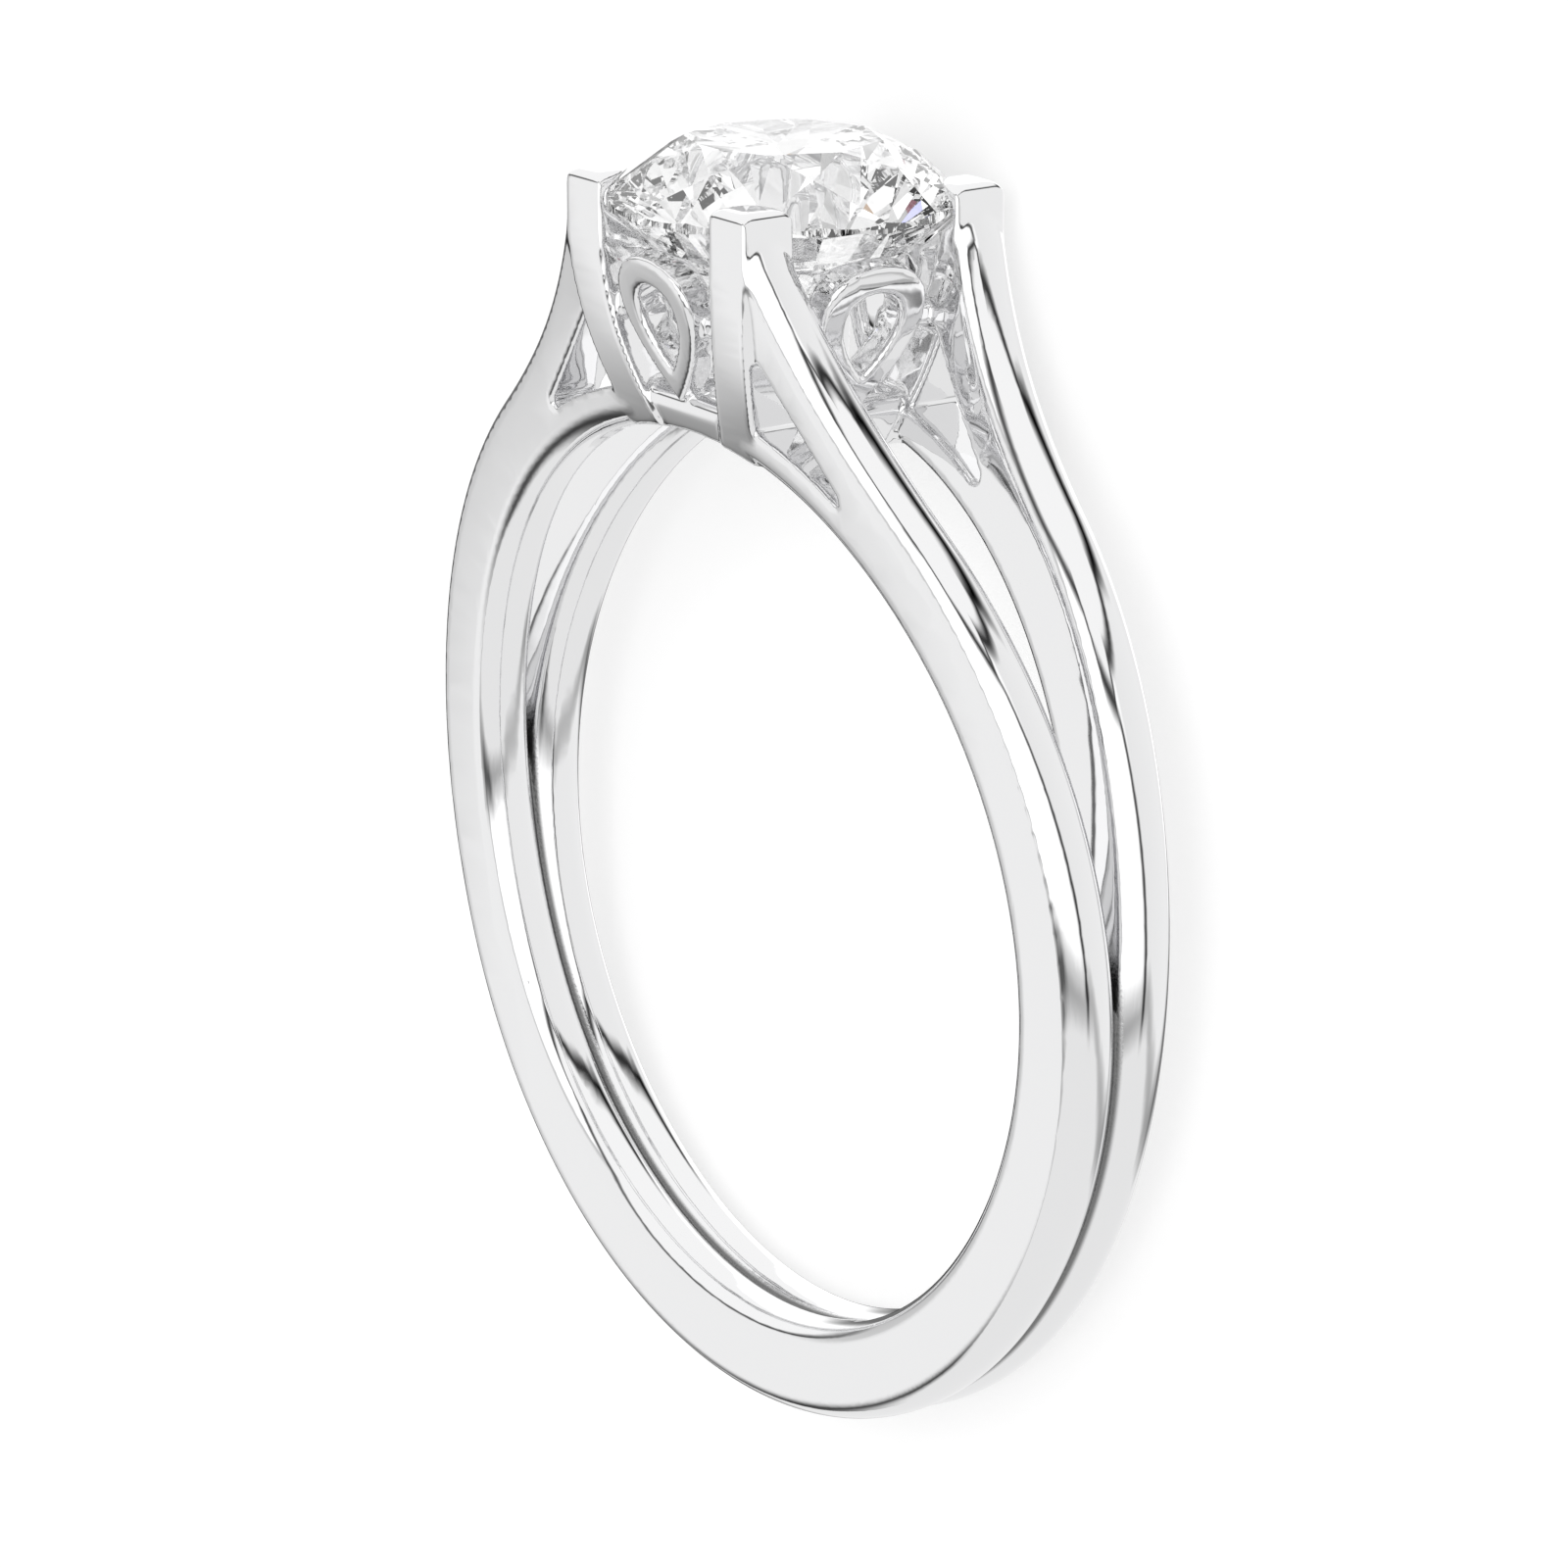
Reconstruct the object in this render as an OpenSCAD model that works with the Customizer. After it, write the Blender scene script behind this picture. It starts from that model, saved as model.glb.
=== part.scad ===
// Split shank ring with a square four-post head and a round brilliant.
// The ring is drawn upright about its finger hole (X across the band, Y along the finger,
// Z towards the stone) and then laid on its side, as it comes to rest by itself.

/* [Finger hole and band] */
// Diameter of the finger hole
finger_d = 16.5; // [14:0.1:22]
// Width of one strand, along the finger
strand_w = 1.08; // [0.9:0.02:1.3]
// Radial thickness of a strand, from the hole to the edge of its rounded outer surface
strand_t = 1.47; // [1.2:0.01:1.8]
// Height of the rounded outer surface above the flat side
dome_h = 0.3; // [0.15:0.01:0.4]
// Depth of the rounding of the inner edges, towards the finger
inner_h = 0.37; // [0.2:0.01:0.45]
// Half of the band's width where the strands lie side by side
band_half_w = 1; // [0.9:0.02:1.04]

/* [Split] */
// Height of the place where the strands begin to part, from the middle of the hole
split_z = -4; // [-6:0.1:-1]
// Height above the hole's rim at which the strands reach the head's full width
flare_top = 3.45; // [3.1:0.05:3.8]

/* [Shoulders] */
// Angle above the horizontal at which the upper rail leaves the band's circle
rail_from = 50; // [44:1:56]
// Height above the hole's rim at which the rail's edge meets its post
rail_top = 3.3; // [3:0.05:3.5]
// Steepness of the rail where it meets its post
rail_slope = 62; // [55:1:68]
// Height of the lower rail, under the window
sill_h = 0.75; // [0.6:0.01:0.9]
// Height above the hole's rim of the window's top corner
window_top = 1.85; // [1.5:0.05:2.1]
// Angle above the horizontal of the window's tip
window_tip = 61.3; // [58:0.1:64]
// Radius of the window's rounded tip
window_r = 0.1; // [0.05:0.01:0.15]

/* [Head] */
// Width of the square head, over its posts
head_w = 5.52; // [5:0.02:6]
// Width of each square post
post_w = 1.08; // [0.9:0.02:1.3]
// Height of the posts above the hole's rim
post_top = 4.4; // [4.2:0.01:4.6]
// Radius of the posts' rounded tops
post_round = 0.25; // [0.1:0.01:0.4]
// Height above the hole's rim at which the posts begin to sweep inwards
sweep_top = 3.65; // [3.3:0.05:3.9]
// Radius of the posts' inward sweep
sweep_r = 9.3; // [8:0.1:14]
// Radius of the rounding of the posts' feet, front and back
foot_round = 0.25; // [0.15:0.01:0.4]
// How far the gallery lies behind the faces of the posts
gallery_inset = 0.1; // [0.05:0.01:0.2]
// Height above the hole's rim of the lower gallery rail
gallery_top = 0.72; // [0.6:0.01:0.85]
// Height above the hole's rim of the small tie bars
tie_z = 2.15; // [2:0.05:2.3]
// Thickness of the tie bars
tie_t = 0.4; // [0.3:0.02:0.5]
// How far the tie bars lie behind the faces of the posts
tie_inset = 0.2; // [0.1:0.01:0.3]
// Depth of the tie bars, inwards
tie_depth = 0.48; // [0.3:0.02:0.6]

/* [Loops] */
// Lean of the loops, outwards at the top
loop_lean = 16.7; // [12:0.1:18]
// Distance of the loop's point from the middle of the head
loop_foot = 2.21; // [2.1:0.01:2.25]
// Height of the loop's point above the hole's rim
loop_tip = 0.6; // [0.5:0.01:0.65]
// Length of a pear-shaped loop, along its face
loop_len = 2.75; // [2.6:0.01:2.85]
// Width of a loop
loop_w = 2.2; // [2:0.02:2.4]
// Thickness of a loop
loop_t = 0.6; // [0.5:0.02:0.7]
// Distance along the face from the loop's point to the opening's point
eye_from = 0.62; // [0.45:0.01:0.65]
// Length of the opening
eye_len = 1.6; // [1.5:0.01:1.75]
// Width of the opening
eye_w = 1.14; // [1:0.02:1.3]

/* [Stone] */
// Diameter of the stone's girdle
stone_d = 6.2; // [5.9:0.02:6.4]
// Height above the hole's rim of the middle of the girdle
girdle_z = 3.94; // [3.85:0.01:4.05]
// Thickness of the girdle at its fullest
girdle_t = 0.2; // [0.12:0.01:0.26]
// Diameter of the table, corner to corner
table_d = 3.47; // [3.2:0.01:3.8]
// Angle of the crown's main facets
crown_angle = 36; // [32:0.5:38]
// Angle of the pavilion's main facets
pavilion_angle = 40.8; // [39:0.1:42]
// Reach of the star facets towards the girdle
star_reach = 0.5; // [0.4:0.01:0.6]
// Reach of the lower girdle facets towards the culet
lower_reach = 0.77; // [0.7:0.01:0.85]
// Space between the stone and its seat
seat_gap = 0.03; // [0.02:0.005:0.05]

/* [Hidden] */
$fn = 96;

// Sides of the large circles that shape the flare and the posts
fine = 720;
// Step along the band, in degrees
band_step = 5;
// Steps along the rail, over the dome, under the strand, round the window's two ends, and round
// the posts' feet
rail_steps = 10;
dome_steps = 6;
inner_steps = 6;
sill_steps = 6;
tip_steps = 8;
foot_steps = 6;
// Points round a pear's outline
pear_steps = 36;
// How far the strand's rounded inside reaches into the hole before it is bored
inner_sink = 0.03;
// How far a rail runs on into its post, and how far a window's cut does
rail_root = 0.15;
window_root = 0.45;
// Length of a cut that runs right through, and what a shorter cut has to spare
through = 60;
spare = 1;
// How far the cut of a loop's opening goes in from the loop's face
eye_reach = 1.2;
// How far the head's blank reaches into the finger hole before it is bored
bore_spare = 0.05;
// Angle on the rounding of a foot at which it meets the finger hole
foot_start = 8;
// Share of the rail's length that each handle of its curve takes
handle = 0.36;
// Width of a pear of unit amplitude, from the peak of sin(a) sin(a / 2)
pear_width = 8 / (3 * sqrt(3));
main_facets = 8;

rim = finger_d / 2;
side_r = rim + strand_t;
head_half = head_w / 2;
post_inner = head_half - post_w;
flare_rise = head_half - band_half_w;
flare_run = rim + flare_top - split_z;
flare_r = (flare_run * flare_run + flare_rise * flare_rise) / (2 * flare_rise);
sweep_z = rim + sweep_top;
post_z = rim + post_top;
post_low = sqrt(rim * rim - head_half * head_half) - bore_spare;

stone_r = stone_d / 2;
table_r = table_d / 2;
girdle_top = rim + girdle_z + girdle_t / 2;
girdle_low = rim + girdle_z - girdle_t / 2;
half_step = 180 / main_facets;
quarter_step = half_step / 2;
table_z = girdle_top + (stone_r - table_r) * tan(crown_angle);
culet_z = girdle_low - stone_r * tan(pavilion_angle);
table_edge = table_r * cos(half_step);
star_r = table_edge + star_reach * (stone_r - table_edge);
star_z = girdle_top + (stone_r - star_r * cos(half_step)) * tan(crown_angle);
lower_r = stone_r * (1 - lower_reach);
lower_z = culet_z + lower_r * cos(half_step) * tan(pavilion_angle);

// The dome over each strand is an arc of this radius
strand_half = strand_w / 2;
dome_arc = (strand_half * strand_half + dome_h * dome_h) / (2 * dome_h);
dome_angle = asin(strand_half / dome_arc);

// The ring lies on its band's side and on the stone's girdle, which sets its pitch
rest_pitch = atan((stone_r - band_half_w) / (girdle_low + side_r));
rest_lift = stone_r * cos(rest_pitch) - girdle_low * sin(rest_pitch);
head_end = table_z * cos(rest_pitch) + table_r * sin(rest_pitch);
band_end = (side_r + dome_h - dome_arc) * cos(rest_pitch)
    + (band_half_w - strand_half) * sin(rest_pitch) + dome_arc;
rest_shift = (head_end - band_end) / 2;

function polar(r, a) = [r * cos(a), r * sin(a)];
function unit(v) = v / norm(v);
function left_of(v) = [-v[1], v[0]];
function mix(a, b, t) = a * (1 - t) + b * t;
function curve(p, t) = mix(mix(mix(p[0], p[1], t), mix(p[1], p[2], t), t),
    mix(mix(p[1], p[2], t), mix(p[2], p[3], t), t), t);
function arc(centre, r, from, to, steps) =
    [for (i = [0 : steps]) centre + polar(r, mix(from, to, i / steps))];

// Half width over the two strands at height z: straight, then a wide arc outwards
function half_w(z) = z < split_z ? band_half_w
    : band_half_w + flare_r - sqrt(flare_r * flare_r - pow(z - split_z, 2));

// How far the faces of the posts have swept inwards at height z
function sweep(z) = z > sweep_z ? 0 : sweep_r - sqrt(sweep_r * sweep_r - pow(sweep_z - z, 2));

// The upper rail's edge, from the band's circle to a post, in side view
rail_start = polar(side_r, rail_from);
rail_end = [head_half, rim + rail_top];
rail_span = norm(rail_end - rail_start) * handle;
rail_curve = [
    rail_start,
    rail_start + rail_span * left_of(unit(rail_start)),
    rail_end + rail_span * [cos(rail_slope), -sin(rail_slope)],
    rail_end
];

// The strand's lines on the right, from the bottom of the band into the post: the outer edge,
// the way out from it, and the angle of the matching place on the finger hole
band_angles = [for (a = [-90 : band_step : rail_from - 1]) a];
outer_right = concat(
    [for (a = band_angles) polar(side_r, a)],
    [for (i = [0 : rail_steps]) curve(rail_curve, i / rail_steps)],
    [rail_end + rail_root * [-1, tan(rail_slope)]]
);
foot_angle = acos((head_half - sweep(rim) - rail_root) / rim);
inner_right = concat(
    band_angles,
    [for (i = [0 : rail_steps + 1]) mix(rail_from, foot_angle, i / (rail_steps + 1))]
);
last = len(outer_right) - 1;
out_right = [for (i = [0 : last])
    i == 0 ? [0, -1] : -left_of(unit(outer_right[min(i + 1, last)] - outer_right[i - 1]))];

// Section of a strand at place i: across the strand, and in side view
function strand_section(i) = concat(
    [for (k = [0 : dome_steps])
        let (a = mix(dome_angle, -dome_angle, k / dome_steps))
        let (rise = dome_h - dome_arc * (1 - cos(a)))
        [dome_arc * sin(a), outer_right[i] + rise * out_right[i]]],
    [for (k = [0 : inner_steps])
        let (a = 180 * k / inner_steps)
        let (r = rim + inner_h - (inner_h + inner_sink) * sin(a))
        [-strand_half * cos(a), polar(r, inner_right[i])]]
);
strand_right = [for (i = [0 : last]) strand_section(i)];
// The whole strand, from one post round the band to the other
strand_sections = concat(
    [for (i = [last : -1 : 1]) [for (s = strand_right[i]) [s[0], [-s[1][0], s[1][1]]]]],
    strand_right
);

// Turns a drawing in X and Z into a solid along Y, and one in Y and Z into a solid along X
module along_y() { rotate([90, 0, 0]) linear_extrude(through, center = true) children(); }
module along_x() { rotate([90, 0, 90]) linear_extrude(through, center = true) children(); }

// Window between the upper and the lower rail, in side view
module window_side() {
    sill_r = rim + sill_h;
    tip = polar(sill_r + window_r, window_tip);
    corner = [head_half - sweep(rim + window_top), rim + window_top];
    upper = left_of(unit(tip - corner));
    foot = acos((post_inner + post_w / 2 - sweep(sill_r)) / sill_r);
    root = corner + window_root * unit(corner - tip);
    polygon(concat(
        arc([0, 0], sill_r, foot, window_tip, sill_steps),
        arc(tip, window_r, window_tip - 180, atan2(upper[1], upper[0]), tip_steps),
        [root, root - [window_root, 0]]
    ));
}

// One strand, with its flare to the head's width and the windows in its shoulders
module strand(side) {
    count = len(strand_sections);
    ring = len(strand_sections[0]);
    points = [for (section = strand_sections) for (s = section)
        [s[1][0], side * (half_w(s[1][1]) - strand_half + s[0]), s[1][1]]];
    walls = [for (i = [0 : count - 2]) for (k = [0 : ring - 1])
        let (a = i * ring + k)
        let (b = i * ring + (k + 1) % ring)
        each [[a, b, b + ring], [a, b + ring, a + ring]]];
    ends = [[for (k = [ring - 1 : -1 : 0]) k], [for (k = [0 : ring - 1]) (count - 1) * ring + k]];
    faces = concat(walls, ends);
    difference() {
        polyhedron(points, side > 0 ? faces : [for (f = faces) [for (k = [len(f) - 1 : -1 : 0]) f[k]]]);
        for (flip = [0, 1]) mirror([flip, 0, 0]) along_y() window_side();
        finger_hole();
    }
}

module finger_hole() {
    rotate([90, 0, 0]) cylinder(d = finger_d, h = through, center = true);
}

// Side view of the head's body, set in by an amount, between two heights
module head_side(inset, low, high) {
    half = head_half - inset;
    for (flip = [0, 1]) mirror([flip, 0]) intersection() {
        union() {
            translate([half - sweep_r, sweep_z]) circle(sweep_r, $fn = fine);
            translate([0, sweep_z]) square([half, high]);
        }
        translate([0, low]) square([half, high - low]);
    }
}

module head_body(inset, low, high) {
    intersection() {
        along_y() head_side(inset, low, high);
        along_x() head_side(inset, low, high);
    }
}

// Four square walls with the head's sweep, from one inset to another
module head_walls(outer, inner, low, high) {
    difference() {
        head_body(outer, low, high);
        head_body(inner, low - spare, high + spare);
    }
}

// Side view of two posts, with their rounded tops
module post_pair_side() {
    straight_top = post_z - post_round;
    difference() {
        head_side(0, post_low, straight_top);
        head_side(post_w, post_low - spare, straight_top + spare);
    }
    for (flip = [0, 1]) mirror([flip, 0]) {
        translate([post_inner + post_round, straight_top]) {
            circle(post_round);
            translate([post_w - 2 * post_round, 0]) circle(post_round);
            square([post_w - 2 * post_round, post_round]);
        }
    }
}

module posts() {
    intersection() {
        along_y() post_pair_side();
        along_x() post_pair_side();
    }
}

// Outline of a pear with its point down
module pear(width, tip, top) {
    polygon([for (i = [0 : pear_steps - 1])
        let (a = i * 360 / pear_steps)
        [width / pear_width * sin(a) * abs(sin(a / 2)), mix(tip, top, (1 - cos(a)) / 2)]]);
}

// Puts a drawing on the leaning face of each of the four loops, from its point upwards
module on_loops(depth, proud) {
    for (turn = [0 : 90 : 270])
        rotate([0, 0, turn])
            translate([0, -loop_foot, rim + loop_tip])
                rotate([90 + loop_lean, 0, 0])
                    translate([0, 0, -depth]) linear_extrude(depth + proud) children();
}

// Open square gallery between the posts: a lower rail, tie bars and the loops
module gallery() {
    head_walls(gallery_inset, post_w, post_low, rim + gallery_top);
    difference() {
        union() {
            head_walls(tie_inset, tie_inset + tie_depth, rim + tie_z - tie_t / 2, rim + tie_z + tie_t / 2);
            on_loops(loop_t, 0) pear(loop_w, 0, loop_len);
        }
        on_loops(eye_reach, spare) pear(eye_w, eye_from, eye_from + eye_len);
    }
}

// Cuts the rounding of the posts' feet, from the finger hole to the posts' swept faces
module foot_rounding() {
    lean = asin(sweep_top / sweep_r);
    face = head_half - sweep(rim);
    centre = [rim + foot_round, face - foot_round * tan((90 - lean) / 2)];
    round_off = arc(centre, foot_round, 180 - foot_start, 90 + lean, foot_steps);
    for (turn = [-90, 90]) rotate([turn, 0, 0]) rotate_extrude() polygon(concat(
        [[rim - spare, round_off[0][1]]],
        round_off,
        [[round_off[foot_steps][0], face + spare], [rim - spare, face + spare]]
    ));
}

// Room for the stone, from below its culet to above the posts
module seat() {
    wide = stone_r + seat_gap;
    crown_run = (stone_r - star_r) / (star_z - girdle_top);
    lower_run = (stone_r - lower_r) / (girdle_low - lower_z);
    above = post_z + spare - girdle_top;
    rotate_extrude() polygon([
        [0, lower_z - lower_r / lower_run - seat_gap],
        [lower_r, lower_z - seat_gap],
        [wide, girdle_low - seat_gap],
        [wide, girdle_top + seat_gap],
        [wide - above * crown_run, girdle_top + seat_gap + above],
        [0, girdle_top + seat_gap + above]
    ]);
}

module head() {
    difference() {
        union() {
            posts();
            gallery();
        }
        finger_hole();
        foot_rounding();
    }
}

module ring_upright() {
    difference() {
        union() {
            strand(1);
            strand(-1);
            head();
        }
        seat();
    }
}

// Cuts one ring of facets: each plane passes through radius r at height z in its own direction
// and leans by angle from the level; up is 1 for the crown and -1 for the pavilion
module facet_ring(count, first, r, z, angle, up) {
    for (i = [0 : count - 1])
        rotate([0, 0, first + i * 360 / count])
            translate([r, 0, z])
                rotate([0, up * angle, 0])
                    translate([-through / 2, -through / 2, up > 0 ? 0 : -through]) cube(through);
}

module stone_upright() {
    half_width = stone_r * cos(quarter_step);
    upper_angle = atan((star_z - girdle_top) / ((stone_r - star_r) * cos(quarter_step)));
    star_angle = atan((table_z - star_z) / (star_r - table_edge));
    lower_angle = atan((girdle_low - lower_z) / ((stone_r - lower_r) * cos(quarter_step)));
    difference() {
        translate([0, 0, culet_z]) cylinder(r = stone_r, h = table_z - culet_z);
        facet_ring(main_facets, 0, stone_r, girdle_top, crown_angle, 1);
        facet_ring(main_facets, half_step, table_edge, table_z, star_angle, 1);
        facet_ring(main_facets * 2, quarter_step, half_width, girdle_top, upper_angle, 1);
        facet_ring(main_facets, 0, stone_r, girdle_low, pavilion_angle, -1);
        facet_ring(main_facets * 2, quarter_step, half_width, girdle_low, lower_angle, -1);
    }
}

// Lays the upright ring on its side
module at_rest() {
    translate([0, -rest_shift, rest_lift]) rotate([rest_pitch - 90, 0, 0]) children();
}

module ring_mount() { color("gainsboro") at_rest() ring_upright(); }
module centre_stone() { color("aliceblue") at_rest() stone_upright(); }

ring_mount();
centre_stone();
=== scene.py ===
# %% [markdown]
# Split shank ring with a round brilliant. The CAD part gives the two pieces, the ring's metal and
# its stone, and this lesson gives them their looks. The stone's facets are exact in the CAD part,
# so it stays and only needs its material. The metal is built again here in finer steps, because
# polished metal shows every flat of a coarse curve.

# %% Load the frame
import math

import bmesh
import bpy
from mathutils import Matrix, Vector


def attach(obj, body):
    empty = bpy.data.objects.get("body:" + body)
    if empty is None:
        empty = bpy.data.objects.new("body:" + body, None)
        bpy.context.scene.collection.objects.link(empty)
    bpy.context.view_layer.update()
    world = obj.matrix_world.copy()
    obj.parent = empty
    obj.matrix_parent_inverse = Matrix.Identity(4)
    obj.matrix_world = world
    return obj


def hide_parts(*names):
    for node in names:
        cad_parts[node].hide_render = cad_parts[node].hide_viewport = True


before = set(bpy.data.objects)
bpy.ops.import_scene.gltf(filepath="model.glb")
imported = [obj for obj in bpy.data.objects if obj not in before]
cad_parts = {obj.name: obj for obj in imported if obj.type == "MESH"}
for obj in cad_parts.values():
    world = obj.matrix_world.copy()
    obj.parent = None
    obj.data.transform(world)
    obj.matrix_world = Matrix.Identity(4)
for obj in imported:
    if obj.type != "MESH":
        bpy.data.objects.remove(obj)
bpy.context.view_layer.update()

# %% [markdown]
# A ring is drawn upright about its finger hole: X across the band, Y along the finger and Z
# towards the stone. The numbers are millimetres. They are the real ring's sizes, so one Blender
# unit is a millimetre until the finished ring is laid down and brought to metres.

# %% Sizes of the ring
RIM = 8.25                  # radius of the finger hole
STRAND_W = 1.08             # width of one strand
SIDE_R = RIM + 1.47         # radius of the edge of a strand's rounded outside
DOME_H = 0.3                # height of the rounded outside
INNER_H = 0.37              # depth of the rounded inside
BAND_HALF = 1.0             # half width over both strands at the bottom
SPLIT_Z = -4.0              # height at which the strands begin to part
FLARE_TOP = RIM + 3.45      # height at which they reach the head's width
HEAD_HALF = 2.76            # half width over the posts
POST_PROUD = 0.005          # how far the posts' faces stand out over the strands beside them
POST_W = 1.08               # width of a post
POST_INNER = HEAD_HALF - POST_W
POST_TOP = RIM + 4.4
SWEEP_Z = RIM + 3.65        # height at which the posts begin to sweep inwards
SWEEP_R = 9.3               # radius of that sweep
STONE_R = 3.1               # radius of the stone's girdle

flare_rise = HEAD_HALF - BAND_HALF
flare_run = FLARE_TOP - SPLIT_Z
FLARE_R = (flare_run ** 2 + flare_rise ** 2) / (2 * flare_rise)
print("flare radius", round(FLARE_R, 2), "mm, band from", RIM, "to", SIDE_R + DOME_H, "mm")


def sweep(z):
    """How far the faces of the posts have moved inwards at height z."""
    return 0.0 if z > SWEEP_Z else SWEEP_R - math.sqrt(SWEEP_R ** 2 - (SWEEP_Z - z) ** 2)


def half_width(z):
    """Half width over the two strands at height z."""
    if z < SPLIT_Z:
        return BAND_HALF
    flared = BAND_HALF + FLARE_R - math.sqrt(FLARE_R ** 2 - (z - SPLIT_Z) ** 2)
    return min(flared, HEAD_HALF - POST_PROUD)


def polar(radius, degrees):
    return Vector((radius * math.cos(math.radians(degrees)), radius * math.sin(math.radians(degrees))))


# %% [markdown]
# A few helpers save repeating the same clicks. Operators act on everything that is selected, and
# the CAD pieces arrive selected, so everything is deselected before each step.

# %% Helpers for selecting and editing
def pick(*pieces):
    """Selects these pieces alone, and makes the last one active."""
    bpy.ops.object.select_all(action="DESELECT")
    for piece in pieces:
        piece.select_set(True)
    bpy.context.view_layer.objects.active = pieces[-1]


def edit_mesh(piece, mode):
    """Goes into edit mode with nothing selected and gives back the mesh that is being edited."""
    pick(piece)
    bpy.ops.object.mode_set(mode="EDIT")
    bpy.ops.mesh.select_mode(type=mode)
    bpy.ops.mesh.select_all(action="DESELECT")
    return bmesh.from_edit_mesh(piece.data)


def object_mode():
    bpy.ops.object.mode_set(mode="OBJECT")
    return bpy.context.active_object


def face_outwards():
    """Turns all faces of the mesh that is being edited outwards."""
    bpy.ops.mesh.select_all(action="SELECT")
    bpy.ops.mesh.normals_make_consistent(inside=False)


def settle(piece):
    """Takes the piece's place, turn and scale into its mesh."""
    pick(piece)
    bpy.ops.object.transform_apply(location=True, rotation=True, scale=True)
    return piece


def copy_of(piece, name):
    pick(piece)
    bpy.ops.object.duplicate(linked=False)
    twin = bpy.context.active_object
    twin.name = name
    return twin


def triangles(piece):
    piece.data.calc_loop_triangles()
    return len(piece.data.loop_triangles)


# %% [markdown]
# Most pieces here start as a flat outline: a filled circle with as many corners as the outline
# has, each moved to its place. An outline is then drawn out straight or spun round an axis, and
# what is hollow on the real ring is cut out with another piece as the tool.

# %% Helpers for outlines, solids and cuts
TOUCH = 0.0001              # points that are closer than this are one point


def apply_modifier(piece, kind, **settings):
    """Adds one modifier, sets it up and applies it."""
    pick(piece)
    modifier = piece.modifiers.new(kind.title(), kind)
    for name, value in settings.items():
        setattr(modifier, name, value)
    bpy.ops.object.modifier_apply(modifier=modifier.name)
    return piece


def outline(name, points):
    """A filled outline through points in space, from a circle with as many corners."""
    bpy.ops.object.select_all(action="DESELECT")
    bpy.ops.mesh.primitive_circle_add(vertices=len(points), radius=1, fill_type="NGON")
    piece = bpy.context.active_object
    piece.name = name
    for vertex, point in zip(piece.data.vertices, points):
        vertex.co = point
    return piece


def box(name, size, middle):
    """A cube brought to its size at its place."""
    bpy.ops.object.select_all(action="DESELECT")
    bpy.ops.mesh.primitive_cube_add(size=1, location=middle)
    piece = bpy.context.active_object
    piece.name = name
    piece.scale = size
    return settle(piece)


def extrude_all(piece, shift):
    """Draws a flat outline out into a solid."""
    edit_mesh(piece, "FACE")
    bpy.ops.mesh.select_all(action="SELECT")
    bpy.ops.mesh.extrude_region_move(TRANSFORM_OT_translate={"value": shift})
    face_outwards()
    return object_mode()


def lathe(name, profile, axis, start, degrees, steps):
    """Spins an outline, given as radius and height along the axis, round that axis."""
    first = [polar(r, start) for r, h in profile]
    if axis == "Y":
        points = [(p.x, h, p.y) for p, (r, h) in zip(first, profile)]
        line = (0, 1, 0)
    else:
        points = [(p.x, p.y, h) for p, (r, h) in zip(first, profile)]
        line = (0, 0, 1)
    piece = outline(name, points)
    edit_mesh(piece, "FACE")
    bpy.ops.mesh.select_all(action="SELECT")
    if degrees == 360:
        bpy.ops.mesh.delete(type="ONLY_FACE")
        bpy.ops.mesh.select_mode(type="EDGE")
        mesh = bmesh.from_edit_mesh(piece.data)
        for edge in mesh.edges:
            edge.select_set(all(Vector(v.co).cross(Vector(line)).length < TOUCH for v in edge.verts))
        bpy.ops.mesh.delete(type="EDGE")
        bpy.ops.mesh.select_all(action="SELECT")
    bpy.ops.mesh.spin(steps=steps, angle=math.radians(degrees), center=(0, 0, 0), axis=line)
    bpy.ops.mesh.select_all(action="SELECT")
    bpy.ops.mesh.remove_doubles(threshold=TOUCH)
    face_outwards()
    return object_mode()


def cut(piece, tool):
    """Takes the tool's shape out of the piece. The tool stays for the next cut."""
    return apply_modifier(piece, "BOOLEAN", operation="DIFFERENCE", solver="EXACT", object=tool)


# %% [markdown]
# The shank is one strand, drawn once and mirrored. Its section has flat sides, a low dome outside
# and a rounded comfort fit inside. The section is spun from the bottom of the band up to the
# shoulder, and from there it is extruded step by step: its outer edge follows the upper rail while
# its inner edge keeps to the finger hole, so that it grows into the tall shoulder.

# %% Section of a strand and its way round the finger
RAIL_FROM = 50.0            # where the upper rail leaves the band's circle, in degrees
RAIL_END = Vector((HEAD_HALF, RIM + 3.3))
RAIL_SLOPE = 62.0           # its steepness at the post
HANDLE = 0.36               # each handle's share of the rail's length
RAIL_ROOT = 0.32            # how far the rail runs on into the post
RAIL_STEPS = 48
DOME_STEPS = 14
INSIDE_STEPS = 16
INNER_SINK = 0.03           # the inside is rounded this much too deep and kept flat at the hole

strand_half = STRAND_W / 2
dome_arc = (strand_half ** 2 + DOME_H ** 2) / (2 * DOME_H)
dome_angle = math.asin(strand_half / dome_arc)

rail_start = polar(SIDE_R, RAIL_FROM)
span = (RAIL_END - rail_start).length * HANDLE
rail_handles = [
    rail_start,
    rail_start + span * Vector((-rail_start.y, rail_start.x)).normalized(),
    RAIL_END + span * Vector((math.cos(math.radians(RAIL_SLOPE)), -math.sin(math.radians(RAIL_SLOPE)))),
    RAIL_END,
]


def rail_point(t):
    a, b, c, d = rail_handles
    return (1 - t) ** 3 * a + 3 * t * (1 - t) ** 2 * b + 3 * t * t * (1 - t) * c + t ** 3 * d


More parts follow.
